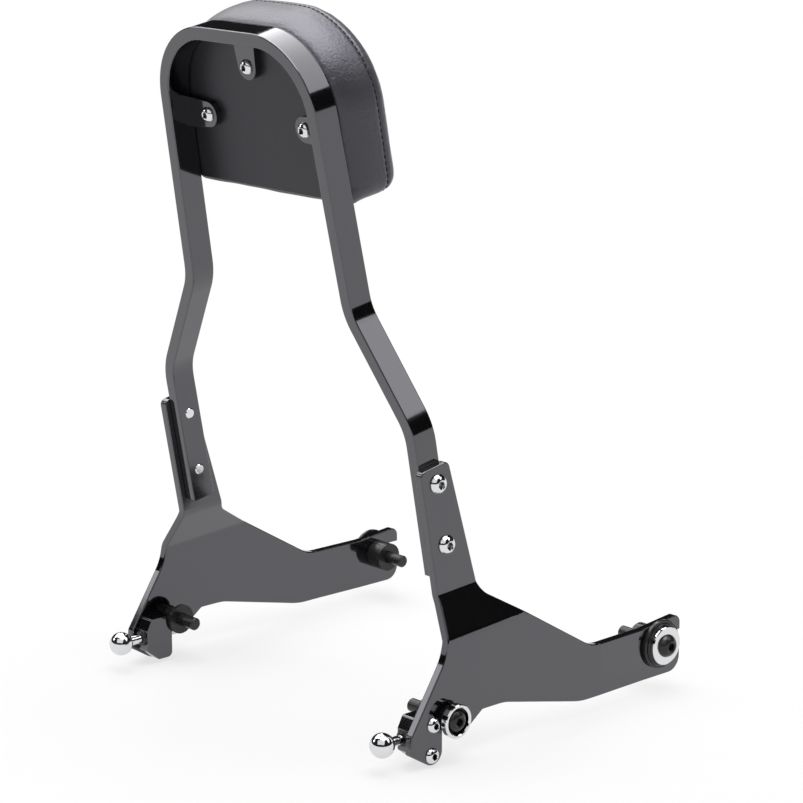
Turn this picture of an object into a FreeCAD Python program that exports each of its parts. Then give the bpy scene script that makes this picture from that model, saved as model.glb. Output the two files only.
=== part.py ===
"""Detachable motorcycle backrest: bent flat-bar hoop, pad, side plates, docking posts and pull latches.

Millimetres. X points to the machine's right, Y forwards, Z up. The origin is the middle of the
line through the two rear docking posts. The right-hand side is modelled and the left is its mirror.
"""
import FreeCAD, Part
import math
import os
from FreeCAD import Vector

# Hoop: one flat bar bent on the flat
BAR_THICKNESS = 9.525
BAR_DEPTH = 19.05
BAR_EDGE_RADIUS = 0.9
HOOP_RECLINE_DEG = 10.4
LEG_BOLT_FORWARD = 11.3
LEG_BOLT_HEIGHT = 116.3
LEG_BOLT_PITCH = 44.45
LEG_BELOW_BOLT = 22.6
HOOP_ABOVE_BOLT = 345.9
LEG_HALF_WIDTH = 134.2
KINK_HALF_WIDTH = 88.6
KINK_ABOVE_BOLT = 157.9
JOG_ANGLE_DEG = 31.0
SPLAY_DEG = 2.8
TOP_BEND_RADIUS = 50.8
KINK_BEND_RADIUS = 40.0

# Side plates: cut from plate, with one joggle outwards and one inwards
PLATE_THICKNESS = 6.35
PLATE_EDGE_RADIUS = 0.9
PLATE_BEND_RADIUS = 8.0
JOGGLE_OUT = 15.875
JOGGLE_ANGLE_DEG = 30.0
JOGGLE_TOP_FORWARD = 22.0
JOGGLE_TOP_HEIGHT = 82.8
JOGGLE_TILT_DEG = 4.0
ARM_JOGGLE_IN = 1.0
ARM_JOGGLE_START = 148.0
ARM_JOGGLE_RUN = 42.0
SHEET_REACH = 120.0
SHEET_JOIN_LEAD = 12.0
TONGUE_REAR_MARGIN = 4.3
TONGUE_TOP_MARGIN = 12.5
TONGUE_TOP_FRONT_MARGIN = 2.7
TONGUE_TAPER_DEG = 6.1
TONGUE_CORNER_RADIUS = 4.5
TONGUE_LENGTH = 86.0
WAIST_BELOW_BOLT = 34.6
WAIST_RADIUS = 25.0
HIP = (-3.9, 41.8)
HIP_RADIUS = 40.0
ARM_TOP_HEIGHT = 14.3
ARM_BOTTOM_DROP = 24.5
ARM_NOSE_RISE = 3.8
ARM_NOSE_LENGTH = 22.0
ARM_RAMP_DEG = 31.1
ARM_RAMP_HEIGHT_AT_AXIS = 103.3
RAMP_HEAD_RADIUS = 14.0
RAMP_FOOT_RADIUS = 32.0
NOSE_RISE_RADIUS = 20.0
NOSE_TOP_RADIUS = 6.0
NOSE_LOW_RADIUS = 11.0
UNDER_ARM_FRONT = 128.0
UNDER_ARM_FRONT_RADIUS = 60.0
UNDER_ARM_REAR = 52.0
UNDER_ARM_REAR_RADIUS = 40.0
UNDER_ARM_HEIGHT = -1.0
NOTCH_CLEARANCE = 0.2
PRONG_ROOT = 31.2
PRONG_ROOT_RADIUS = 3.0
PRONG_TIP = (9.2, -17.0)
PRONG_TIP_RADIUS = 1.6
PRONG_CHAMFER_HEIGHT = -13.6

# Docking posts
FRONT_POST_FORWARD = 209.4
FRONT_POST_HEIGHT = 5.5
POST_NECK_RADIUS = 6.35
POST_FOOT_RADIUS = 11.0
POST_PLATE_GAP = 0.3
STRUT_OUTSIDE_LEG = 0.8
DOCK_BOLT_RADIUS = 4.7625
DOCK_THREAD_RADIUS = 4.7
DOCK_THREAD_LENGTH = 16.0
DOCK_THREAD_CHAMFER = 1.0
DOCK_BOLT_HEAD_RADIUS = 8.35
DOCK_BOLT_HEAD_HEIGHT = 4.8
DOCK_BOLT_SOCKET = 5.56
FRONT_FLANGE_RADIUS = 18.0
FRONT_FLANGE_LENGTH = 2.8
FRONT_STEP_RADIUS = 15.8
FRONT_STEP_LENGTH = 1.2
FRONT_WASHER_RADIUS = 14.3
FRONT_WASHER_LENGTH = 3.2
REAR_FLANGE_RADIUS = 9.2
REAR_FLANGE_LENGTH = 3.6
REAR_CUP_RADIUS = 12.0
REAR_CUP_LENGTH = 5.2
REAR_CUP_RECESS_RADIUS = 9.4
REAR_CUP_FLOOR = 1.5
POST_EDGE_CHAMFER = 0.6
BORE_CLEARANCE = 0.14

# Fasteners
LEG_BOLT_RADIUS = 3.97
LEG_BOLT_HEAD_RADIUS = 6.95
LEG_BOLT_HEAD_HEIGHT = 4.2
LEG_BOLT_SOCKET = 4.76
LEG_BOLT_PROUD = 0.6
SMALL_SCREW_RADIUS = 3.175
SMALL_SCREW_HEAD_RADIUS = 5.55
SMALL_SCREW_HEAD_HEIGHT = 3.35
SMALL_SCREW_SOCKET = 3.97
BUTTON_CROWN_SHARE = 0.5
BUTTON_RIM_SHARE = 0.12
BUTTON_SHOULDER = (0.62, 0.84)
SOCKET_FLOOR_SHARE = 0.35
SOCKET_MOUTH_SHARE = 1.12
SOCKET_MOUTH_ANGLE_DEG = 30.0
SCREW_TIP_SHARE = 0.2
THREAD_CLEARANCE = 0.05
HOLE_CLEARANCE = 0.25

# Pull latches behind the rear posts
LATCH_AXIS_INSET = 6.2
LATCH_BLOCK_DEPTH = 12.4
LATCH_BLOCK_REAR = -30.5
LATCH_BLOCK_FRONT = -7.5
LATCH_BLOCK_TOP = 4.4
LATCH_BLOCK_BOTTOM = -27.6
LATCH_BLOCK_TOP_BEVEL = (4.5, 8.4)
LATCH_BLOCK_LOW_BEVEL = (10.5, 8.2)
LATCH_BLOCK_CORNER_RADIUS = 2.0
LATCH_BLOCK_FRONT_RADIUS = 4.0
PLUNGER_RADIUS = 3.5
PLUNGER_POST_GAP = 0.15
PLUNGER_REACH = 3.0
PLUNGER_TRAVEL = 9.5
PLUNGER_NOSE_CHAMFER = 1.6
PLUNGER_ROD_RADIUS = 2.0
PLUNGER_SHOULDER_RADIUS = 3.9
PLUNGER_SHOULDER_LENGTH = 2.0
PLUNGER_GUIDE_LENGTH = 5.0
SPRING_CAVITY_RADIUS = 4.1
SPRING_RADIUS = 3.25
SPRING_WIRE_RADIUS = 0.45
SPRING_TURNS = 4
SPRING_END_GAP = 0.02
LATCH_CAP_RADIUS = 6.0
LATCH_CAP_HEAD = 2.0
LATCH_CAP_PLUG = 2.5
LATCH_CAP_CHAMFER = 0.8
KNOB_RADIUS = 8.75
KNOB_FROM_CAP = 17.6
KNOB_STEM_RADIUS = 3.45
RUNNING_CLEARANCE = 0.05
REST_GAP = 0.3
LATCH_SCREW_TOP = (-15.1, -1.2)
LATCH_SCREW_LOW = (-16.5, -22.4)
LATCH_SCREW_REACH = 8.0
LATCH_SCREW_RUNOUT = 1.0
TAB_LOBE_RADIUS = 9.0
TAB_REAR_TOP = (-34.4, -5.2)
TAB_REAR_TOP_RADIUS = 3.0
TAB_REAR_CORNER = (-35.4, -18.7)
TAB_REAR_CORNER_RADIUS = 2.5
TAB_UNDER_SLOPE = 0.625

# Pad
PAD_HALF_WIDTH = 86.0
PAD_TOP_ABOVE_HOOP = 5.0
PAD_HEIGHT = 123.0
PAD_TOP_RADIUS = 63.5
PAD_BOTTOM_RADIUS = 12.0
PAD_THICKNESS = 43.0
PAD_FRONT_RADIUS = 11.0
PAD_NARROWING = 5.0
PAD_NARROWING_LENGTH = 14.0
COVER_THICKNESS = 1.5
BOARD_THICKNESS = 9.0
BOARD_MARGIN = 2.0
FOAM_GAP = 0.3
TEE_NUT_RADIUS = 9.5
TEE_NUT_FLANGE = 1.6
TEE_NUT_BARREL_RADIUS = 4.6
TEE_NUT_BARREL_LENGTH = 7.0
PAD_SCREW_LENGTH = 16.0

# Pad tabs welded inside the hoop
TAB_THICKNESS = 4.76
TAB_END_RADIUS = 9.0
TAB_WELD_WIDTH = 21.6
TOP_SCREW_BELOW_TOP = 29.0
SIDE_SCREW_BELOW_TOP = 67.3
SIDE_SCREW_HALF_SPACING = 50.7

PLATE_INNER = LEG_HALF_WIDTH
PLATE_OUTER = PLATE_INNER + PLATE_THICKNESS
STRUT_FACE = PLATE_INNER + STRUT_OUTSIDE_LEG
LOW_INNER = PLATE_INNER + JOGGLE_OUT
LOW_OUTER = PLATE_OUTER + JOGGLE_OUT
ARM_INNER = LOW_INNER - ARM_JOGGLE_IN
ARM_OUTER = LOW_OUTER - ARM_JOGGLE_IN
NOTCH_RADIUS = POST_NECK_RADIUS + NOTCH_CLEARANCE
DOCK_BORE_RADIUS = DOCK_BOLT_RADIUS + BORE_CLEARANCE
LATCH_AXIS_X = LOW_INNER - LATCH_AXIS_INSET
LATCH_AXIS_Z = -(POST_NECK_RADIUS + PLUNGER_RADIUS + PLUNGER_POST_GAP)
RECLINE = math.radians(HOOP_RECLINE_DEG)
FRONT_POST = (FRONT_POST_FORWARD, FRONT_POST_HEIGHT)
REAR_POST = (0.0, 0.0)
X_AXIS = Vector(1, 0, 0)


def polar(length, degrees):
    return length * math.cos(math.radians(degrees)), length * math.sin(math.radians(degrees))


def rounded_polygon(corners):
    """Closed 2D outline from (a, b, radius) corners: straight runs joined by tangent arcs."""
    starts, ends, middles = [], [], []
    for index, (a, b, radius) in enumerate(corners):
        corner = Vector(a, b, 0)
        before = Vector(*corners[index - 1][:2], 0) - corner
        after = Vector(*corners[(index + 1) % len(corners)][:2], 0) - corner
        before.normalize()
        after.normalize()
        half = before.getAngle(after) / 2
        tangent = radius / math.tan(half)
        starts.append(corner + before * tangent)
        ends.append(corner + after * tangent)
        bisector = before + after
        bisector.normalize()
        middles.append(corner + bisector * (radius / math.sin(half) - radius))
    edges = []
    for index, (_, _, radius) in enumerate(corners):
        if radius > 0:
            arc = Part.Arc(starts[index], middles[index], ends[index])
            edges.append(arc.toShape())
        following = starts[(index + 1) % len(corners)]
        if ends[index].distanceToPoint(following) > 1e-6:
            edges.append(Part.LineSegment(ends[index], following).toShape())
    return Part.Wire(edges)


def strip_outline(points, radii, thickness):
    """Closed outline of a strip of even thickness along a bent line; radii are at its middle."""
    sides = []
    for side in (0.5, -0.5):
        line = []
        for index, (a, b) in enumerate(points):
            here = Vector(a, b, 0)
            before = here - Vector(*points[index - 1], 0) if index else None
            after = Vector(*points[index + 1], 0) - here if index + 1 < len(points) else None
            normals = []
            for run in (before, after):
                if run is not None:
                    run.normalize()
                    normals.append(Vector(-run.y, run.x, 0))
            mean = normals[0] + normals[-1]
            mean.normalize()
            offset = side * thickness / mean.dot(normals[0])
            radius = 0.0
            if len(normals) == 2:
                turn = before.cross(after).z
                radius = radii[index - 1] - side * thickness * math.copysign(1, turn)
            place = here + mean * offset
            line.append((place.x, place.y, radius))
        sides.append(line)
    return rounded_polygon(sides[0] + sides[1][::-1])


def face_of(wire):
    return Part.Face(wire)


def leg_placement():
    """Frame of the hoop: local x across, local y up along the legs, local z forwards."""
    up = Vector(0, -math.sin(RECLINE), math.cos(RECLINE))
    forward = Vector(0, math.cos(RECLINE), math.sin(RECLINE))
    matrix = FreeCAD.Matrix(
        1, up.x, -forward.x, 0,
        0, up.y, -forward.y, LEG_BOLT_FORWARD,
        0, up.z, -forward.z, LEG_BOLT_HEIGHT,
        0, 0, 0, 1)
    return FreeCAD.Placement(matrix)


def in_hoop_frame(shape):
    """Move a shape drawn with x across, y up the legs and z rearwards of the bar's middle."""
    moved = shape.copy()
    moved.Placement = leg_placement().multiply(moved.Placement)
    return moved


def leg_point(forward, up):
    """Y and Z of a point given along the leg: forwards of the bar's middle and up from the low bolt."""
    y = LEG_BOLT_FORWARD - up * math.sin(RECLINE) + forward * math.cos(RECLINE)
    z = LEG_BOLT_HEIGHT + up * math.cos(RECLINE) + forward * math.sin(RECLINE)
    return y, z


def disc(radius, start, end, y=0.0, z=0.0):
    """Round bar along X from one X position to another."""
    low = min(start, end)
    return Part.makeCylinder(radius, abs(end - start), Vector(low, y, z), X_AXIS)


def turned(profile, y=0.0, z=0.0):
    """Solid turned about an X line through (y, z), from (x, radius) profile points."""
    points = [Vector(x, radius, 0) for x, radius in profile]
    wire = Part.makePolygon(points + [points[0]])
    solid = Part.Face(wire).revolve(Vector(0, 0, 0), X_AXIS, 360)
    solid.translate(Vector(0, y, z))
    return solid


def hexagon_prism(across_flats, start, end):
    """Hexagonal prism along X."""
    corner = across_flats / math.sqrt(3)
    points = [Vector(start, *polar(corner, 60 * step)) for step in range(7)]
    return Part.Face(Part.makePolygon(points)).extrude(Vector(end - start, 0, 0))


def button_screw(head_radius, head_height, shank_radius, shank_length, socket):
    """Button-head screw along X: seat at x = 0, domed head towards +X, shank towards -X."""
    crown_radius = BUTTON_CROWN_SHARE * head_radius
    rim = BUTTON_RIM_SHARE * head_height
    mid_x = BUTTON_SHOULDER[0] * head_height
    mid_radius = BUTTON_SHOULDER[1] * head_radius
    rim_point = Vector(rim, head_radius, 0)
    crown_point = Vector(head_height, crown_radius, 0)
    dome = Part.Arc(rim_point, Vector(mid_x, mid_radius, 0), crown_point).toShape()
    tip = SCREW_TIP_SHARE * shank_radius
    outline = [
        crown_point,
        Vector(head_height, 0, 0),
        Vector(-shank_length, 0, 0),
        Vector(-shank_length, shank_radius - tip, 0),
        Vector(-shank_length + tip, shank_radius, 0),
        Vector(0, shank_radius, 0),
        Vector(0, head_radius, 0),
        rim_point,
    ]
    lines = [Part.LineSegment(a, b).toShape() for a, b in zip(outline, outline[1:])]
    screw = Part.Face(Part.Wire([dome] + lines)).revolve(Vector(0, 0, 0), X_AXIS, 360)
    flat_radius = socket / 2
    mouth_radius = SOCKET_MOUTH_SHARE * socket / math.sqrt(3)
    mouth_depth = (mouth_radius - flat_radius) * math.tan(math.radians(SOCKET_MOUTH_ANGLE_DEG))
    mouth_floor = Vector(head_height - mouth_depth, 0, 0)
    mouth = Part.makeCone(flat_radius, mouth_radius, mouth_depth, mouth_floor, X_AXIS)
    hexagon = hexagon_prism(socket, SOCKET_FLOOR_SHARE * head_height, 2 * head_height)
    return screw.cut(hexagon).cut(mouth)


def placed(shape, x, y, z):
    moved = shape.copy()
    moved.translate(Vector(x, y, z))
    return moved


def mirrored(shape):
    return shape.mirror(Vector(0, 0, 0), X_AXIS)


def hoop_line():
    """Middle line of the bar, right half, from the top's middle to the leg's end (x, up)."""
    half = BAR_THICKNESS / 2
    splay = math.tan(math.radians(SPLAY_DEG))
    top = HOOP_ABOVE_BOLT - half
    kink = (KINK_HALF_WIDTH - half, KINK_ABOVE_BOLT)
    corner = (kink[0] - (top - kink[1]) * splay, top)
    jog_drop = (LEG_HALF_WIDTH - KINK_HALF_WIDTH) / math.tan(math.radians(JOG_ANGLE_DEG))
    low_kink = (LEG_HALF_WIDTH - half, kink[1] - jog_drop)
    end = (LEG_HALF_WIDTH - half, -LEG_BELOW_BOLT)
    return [corner, kink, low_kink, end]


def hoop_inner_at(up):
    """Half-width of the space between the upper legs at a height along them."""
    corner, kink = hoop_line()[:2]
    share = (up - kink[1]) / (corner[1] - kink[1])
    middle = kink[0] + share * (corner[0] - kink[0])
    return middle - BAR_THICKNESS / 2 / math.cos(math.radians(SPLAY_DEG))


def make_hoop():
    right = hoop_line()
    left = [(-x, up) for x, up in right]
    bends = [KINK_BEND_RADIUS, KINK_BEND_RADIUS, TOP_BEND_RADIUS]
    outline = strip_outline(left[::-1] + right, bends + bends[::-1], BAR_THICKNESS)
    bar = face_of(outline).extrude(Vector(0, 0, BAR_DEPTH))
    bar.translate(Vector(0, 0, -BAR_DEPTH / 2))
    long_edges = [edge for edge in bar.Edges if abs(edge.tangentAt(edge.FirstParameter).z) < 0.5]
    bar = in_hoop_frame(bar.makeFillet(BAR_EDGE_RADIUS, long_edges))
    reach = LEG_HALF_WIDTH + BAR_THICKNESS
    for up in (0, LEG_BOLT_PITCH):
        y, z = leg_point(0, up)
        bar = bar.cut(disc(LEG_BOLT_RADIUS + THREAD_CLEARANCE, -reach, reach, y, z))
    return bar


def make_pad_tabs():
    """Three tabs, flush with the bar's front: weld edge on the bar and a round end round the screw."""
    rear = BAR_DEPTH / 2 - TAB_THICKNESS
    half_weld = TAB_WELD_WIDTH / 2
    hole = SMALL_SCREW_RADIUS + HOLE_CLEARANCE
    seats = pad_screw_seats()
    under_top = HOOP_ABOVE_BOLT - BAR_THICKNESS

    def tab(weld_a, weld_b, seat):
        screw = Vector(*seat, 0)
        round_end = Part.makeCylinder(TAB_END_RADIUS, TAB_THICKNESS, screw)
        away = screw - (weld_a + weld_b) * 0.5
        away.normalize()
        side = Vector(-away.y, away.x, 0) * TAB_END_RADIUS
        if (weld_b - weld_a).dot(side) > 0:
            side = side * -1
        outline = [weld_a, weld_b, screw - side, screw + side, weld_a]
        web = Part.Face(Part.makePolygon(outline)).extrude(Vector(0, 0, TAB_THICKNESS))
        solid = web.fuse(round_end).removeSplitter()
        solid = solid.cut(Part.makeCylinder(hole, TAB_THICKNESS, screw))
        solid.translate(Vector(0, 0, -rear - TAB_THICKNESS))
        return in_hoop_frame(solid)

    top_seat, left_seat, right_seat = seats
    top = tab(Vector(-half_weld, under_top, 0), Vector(half_weld, under_top, 0), top_seat)
    sides = []
    for sign, seat in ((-1, left_seat), (1, right_seat)):
        ends = []
        for up in (seat[1] + half_weld, seat[1] - half_weld):
            ends.append(Vector(sign * hoop_inner_at(up), up, 0))
        sides.append(tab(ends[0], ends[1], seat))
    return top, sides[0], sides[1]


def pad_screw_seats():
    """Places of the three pad screws across and up the hoop."""
    side_up = HOOP_ABOVE_BOLT - SIDE_SCREW_BELOW_TOP
    return [
        (0.0, HOOP_ABOVE_BOLT - TOP_SCREW_BELOW_TOP),
        (-SIDE_SCREW_HALF_SPACING, side_up),
        (SIDE_SCREW_HALF_SPACING, side_up),
    ]


def along_hoop_normal(shape, seat, forward):
    """Turn a part drawn along +X so that +X points rearwards, and set it on the hoop."""
    turned_part = shape.copy()
    turned_part.rotate(Vector(0, 0, 0), Vector(0, 1, 0), -90)
    turned_part.translate(Vector(seat[0], seat[1], -forward))
    return in_hoop_frame(turned_part)


def make_pad_screws():
    seat_plane = BAR_DEPTH / 2 - TAB_THICKNESS
    screw = button_screw(SMALL_SCREW_HEAD_RADIUS, SMALL_SCREW_HEAD_HEIGHT, SMALL_SCREW_RADIUS,
                         PAD_SCREW_LENGTH, SMALL_SCREW_SOCKET)
    return Part.makeCompound([along_hoop_normal(screw, seat, seat_plane) for seat in pad_screw_seats()])


def pad_wire(inset, depth):
    """The pad's outline, inset all round, at a depth in front of the bar's middle.

    Its top and sides narrow towards the bar; its bottom runs straight back.
    """
    narrowing = PAD_NARROWING * max(0.0, 1 - (depth - BAR_DEPTH / 2) / PAD_NARROWING_LENGTH)
    pad_top = HOOP_ABOVE_BOLT + PAD_TOP_ABOVE_HOOP
    width = PAD_HALF_WIDTH - inset - narrowing
    top = pad_top - inset - narrowing
    bottom = pad_top - PAD_HEIGHT + inset
    round_top = PAD_TOP_RADIUS - inset - narrowing
    round_bottom = PAD_BOTTOM_RADIUS - inset
    outline = rounded_polygon([
        (width, top, round_top),
        (-width, top, round_top),
        (-width, bottom, round_bottom),
        (width, bottom, round_bottom),
    ])
    outline.translate(Vector(0, 0, -depth))
    return outline


def pad_sheet(inset, rear, front):
    """Flat sheet or board with the pad's outline at its rear face."""
    return face_of(pad_wire(inset, rear)).extrude(Vector(0, 0, rear - front))


def pad_block(inset, rear, front, front_radius):
    """Block with the pad's narrowing outline and a round front edge."""
    full = BAR_DEPTH / 2 + PAD_NARROWING_LENGTH
    narrow_part = Part.makeLoft([pad_wire(inset, rear), pad_wire(inset, full)], True, True)
    block = pad_sheet(inset, full, front)
    front_edges = [edge for edge in block.Edges
                   if all(abs(vertex.Z + front) < 1e-6 for vertex in edge.Vertexes)]
    return block.makeFillet(front_radius, front_edges).fuse(narrow_part).removeSplitter()


def make_pad():
    """Back panel, board, tee nuts, foam and the sewn cover, from the rear forwards."""
    rear = BAR_DEPTH / 2
    panel_front = rear + COVER_THICKNESS
    board_front = panel_front + BOARD_THICKNESS
    pad_front = rear + PAD_THICKNESS
    flange_front = board_front + TEE_NUT_FLANGE
    seats = [Vector(*seat, 0) for seat in pad_screw_seats()]

    def holes(radius, start, end):
        return [Part.makeCylinder(radius, end - start, seat - Vector(0, 0, end)) for seat in seats]

    clear = SMALL_SCREW_RADIUS + HOLE_CLEARANCE
    barrel_hole = TEE_NUT_BARREL_RADIUS + HOLE_CLEARANCE
    panel_inset = COVER_THICKNESS + FOAM_GAP
    panel = pad_sheet(panel_inset, rear, panel_front).cut(holes(clear, rear, panel_front))
    board = pad_sheet(panel_inset + BOARD_MARGIN, panel_front, board_front)
    board = board.cut(holes(barrel_hole, panel_front, board_front))
    nuts = []
    for seat in seats:
        flange = Part.makeCylinder(TEE_NUT_RADIUS, TEE_NUT_FLANGE, seat - Vector(0, 0, flange_front))
        barrel = Part.makeCylinder(TEE_NUT_BARREL_RADIUS, TEE_NUT_BARREL_LENGTH,
                                   seat - Vector(0, 0, board_front))
        thread = Part.makeCylinder(SMALL_SCREW_RADIUS + THREAD_CLEARANCE,
                                   TEE_NUT_FLANGE + TEE_NUT_BARREL_LENGTH,
                                   seat - Vector(0, 0, flange_front))
        nuts.append(in_hoop_frame(flange.fuse(barrel).cut(thread).removeSplitter()))
    foam_front = pad_front - COVER_THICKNESS - FOAM_GAP
    foam = pad_block(panel_inset, board_front, foam_front, PAD_FRONT_RADIUS - COVER_THICKNESS)
    foam = foam.cut(holes(TEE_NUT_RADIUS + FOAM_GAP, board_front, flange_front + FOAM_GAP))
    screw_room = PAD_SCREW_LENGTH - TAB_THICKNESS + rear
    foam = foam.cut(holes(clear, board_front, screw_room + FOAM_GAP))
    cover = pad_block(0, rear, pad_front, PAD_FRONT_RADIUS)
    cover = cover.cut(pad_block(COVER_THICKNESS, rear, pad_front - COVER_THICKNESS,
                                PAD_FRONT_RADIUS - COVER_THICKNESS))
    return {
        "pad_cover": in_hoop_frame(cover),
        "pad_back_panel": in_hoop_frame(panel),
        "pad_board": in_hoop_frame(board),
        "pad_foam": in_hoop_frame(foam),
        "pad_tee_nuts": Part.makeCompound(nuts),
    }


def plate_outline():
    """Side view of a plate: tongue up the leg, arm to the front post, notch and tab at the rear post."""
    tongue_top = LEG_BOLT_PITCH + TONGUE_TOP_MARGIN
    tongue_rear = -(BAR_DEPTH / 2 + TONGUE_REAR_MARGIN)
    tongue_front = BAR_DEPTH / 2 + TONGUE_TOP_FRONT_MARGIN
    front_low = tongue_front + TONGUE_LENGTH * math.tan(math.radians(TONGUE_TAPER_DEG))
    ramp = math.tan(math.radians(ARM_RAMP_DEG))
    arm_top = FRONT_POST_HEIGHT + ARM_TOP_HEIGHT
    arm_bottom = FRONT_POST_HEIGHT - ARM_BOTTOM_DROP
    arm_end = FRONT_POST_FORWARD + ARM_NOSE_LENGTH
    ramp_foot = (ARM_RAMP_HEIGHT_AT_AXIS - arm_top) / ramp
    low_front = leg_point(front_low, tongue_top - TONGUE_LENGTH)
    ramp_head = ramp_crossing(leg_point(tongue_front, tongue_top), low_front, ramp)
    waist = leg_point(tongue_rear, -WAIST_BELOW_BOLT)
    tab_rear, tab_low = TAB_REAR_CORNER
    lobe_corner = tab_low - (-NOTCH_RADIUS - tab_rear) * TAB_UNDER_SLOPE
    return rounded_polygon([
        (*leg_point(tongue_rear, tongue_top), TONGUE_CORNER_RADIUS),
        (*leg_point(tongue_front, tongue_top), TONGUE_CORNER_RADIUS),
        (*ramp_head, RAMP_HEAD_RADIUS),
        (ramp_foot, arm_top, RAMP_FOOT_RADIUS),
        (FRONT_POST_FORWARD - FRONT_FLANGE_RADIUS, arm_top, NOSE_RISE_RADIUS),
        (arm_end, arm_top + ARM_NOSE_RISE, NOSE_TOP_RADIUS),
        (arm_end, arm_bottom, NOSE_LOW_RADIUS),
        (UNDER_ARM_FRONT, arm_bottom, UNDER_ARM_FRONT_RADIUS),
        (UNDER_ARM_REAR, UNDER_ARM_HEIGHT, UNDER_ARM_REAR_RADIUS),
        (PRONG_ROOT, UNDER_ARM_HEIGHT, PRONG_ROOT_RADIUS),
        (*PRONG_TIP, PRONG_TIP_RADIUS),
        (NOTCH_RADIUS, PRONG_CHAMFER_HEIGHT, PRONG_TIP_RADIUS),
        (NOTCH_RADIUS, NOTCH_RADIUS, NOTCH_RADIUS),
        (-NOTCH_RADIUS, NOTCH_RADIUS, NOTCH_RADIUS),
        (-NOTCH_RADIUS, lobe_corner, TAB_LOBE_RADIUS),
        (*TAB_REAR_CORNER, TAB_REAR_CORNER_RADIUS),
        (*TAB_REAR_TOP, TAB_REAR_TOP_RADIUS),
        (*HIP, HIP_RADIUS),
        (*waist, WAIST_RADIUS),
    ])


def ramp_crossing(high, low, ramp):
    """Where the tongue's front edge, through two points, meets the ramp of the arm's upper edge."""
    lean = (low[0] - high[0]) / (low[1] - high[1])
    z = (ARM_RAMP_HEIGHT_AT_AXIS - ramp * (low[0] - lean * low[1])) / (1 + ramp * lean)
    return low[0] + lean * (z - low[1]), z


def bent_sheet():
    """The plate's sheet before its outline is cut: joggled outwards below the tongue, in along the arm."""
    reach = SHEET_REACH
    split = ARM_JOGGLE_START - SHEET_JOIN_LEAD
    tongue_x = PLATE_INNER + PLATE_THICKNESS / 2
    low_x = tongue_x + JOGGLE_OUT
    drop = JOGGLE_OUT / math.tan(math.radians(JOGGLE_ANGLE_DEG))
    tilt = math.tan(math.radians(JOGGLE_TILT_DEG))
    start = JOGGLE_TOP_FORWARD - reach
    base = JOGGLE_TOP_HEIGHT - reach * tilt
    profile = [
        (tongue_x, base + 2 * reach),
        (tongue_x, base),
        (low_x, base - drop),
        (low_x, base - drop - 2 * reach),
    ]
    bends = [PLATE_BEND_RADIUS, PLATE_BEND_RADIUS]
    upper = face_of(strip_outline(profile, bends, PLATE_THICKNESS))
    upper.rotate(Vector(0, 0, 0), X_AXIS, 90)
    upper.translate(Vector(0, start, 0))
    run = split - start
    upper = upper.extrude(Vector(0, run, run * tilt))
    arm_x = low_x - ARM_JOGGLE_IN
    arm_line = [
        (low_x, split),
        (low_x, ARM_JOGGLE_START),
        (arm_x, ARM_JOGGLE_START + ARM_JOGGLE_RUN),
        (arm_x, FRONT_POST_FORWARD + reach),
    ]
    arm = face_of(strip_outline(arm_line, bends, PLATE_THICKNESS)).extrude(Vector(0, 0, reach))
    arm.translate(Vector(0, 0, -reach / 2))
    return upper, arm


def outline_edges(plate):
    """Edges where a broad face of the bent sheet meets its cut outline."""
    edges = []
    for edge in plate.Edges:
        middle = edge.valueAt((edge.FirstParameter + edge.LastParameter) / 2)
        broad = []
        for face in plate.ancestorsOfType(edge, Part.Face):
            u, v = face.Surface.parameter(middle)
            broad.append(abs(face.normalAt(u, v).x) > 0.5)
        if sorted(broad) == [False, True]:
            edges.append(edge)
    return edges


def make_side_plate():
    outline = plate_outline()
    prism = face_of(outline)
    prism.rotate(Vector(0, 0, 0), Vector(1, 1, 1), 120)
    depth = PLATE_THICKNESS + JOGGLE_OUT
    prism.translate(Vector(PLATE_INNER - depth, 0, 0))
    prism = prism.extrude(Vector(3 * depth, 0, 0))
    upper, arm = bent_sheet()
    plate = prism.common(upper).fuse(prism.common(arm)).removeSplitter()
    plate = plate.makeFillet(PLATE_EDGE_RADIUS, outline_edges(plate))
    y, z = FRONT_POST
    slot = disc(NOTCH_RADIUS, PLATE_INNER, LOW_OUTER, y, z)
    mouth = Part.makeBox(LOW_OUTER - PLATE_INNER, 2 * ARM_NOSE_LENGTH, 2 * NOTCH_RADIUS,
                         Vector(PLATE_INNER, y, z - NOTCH_RADIUS))
    plate = plate.cut(slot.fuse(mouth))
    holes = []
    for up in (0, LEG_BOLT_PITCH):
        y, z = leg_point(0, up)
        holes.append(disc(LEG_BOLT_RADIUS + HOLE_CLEARANCE, PLATE_INNER, LOW_OUTER, y, z))
    for y, z in (LATCH_SCREW_TOP, LATCH_SCREW_LOW):
        holes.append(disc(SMALL_SCREW_RADIUS + HOLE_CLEARANCE, PLATE_INNER, LOW_OUTER, y, z))
    return plate.cut(holes)


def make_leg_bolts():
    length = PLATE_THICKNESS + BAR_THICKNESS + LEG_BOLT_PROUD
    bolt = button_screw(LEG_BOLT_HEAD_RADIUS, LEG_BOLT_HEAD_HEIGHT, LEG_BOLT_RADIUS, length, LEG_BOLT_SOCKET)
    places = [leg_point(0, up) for up in (0, LEG_BOLT_PITCH)]
    return Part.makeCompound([placed(bolt, PLATE_OUTER, y, z) for y, z in places])


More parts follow.
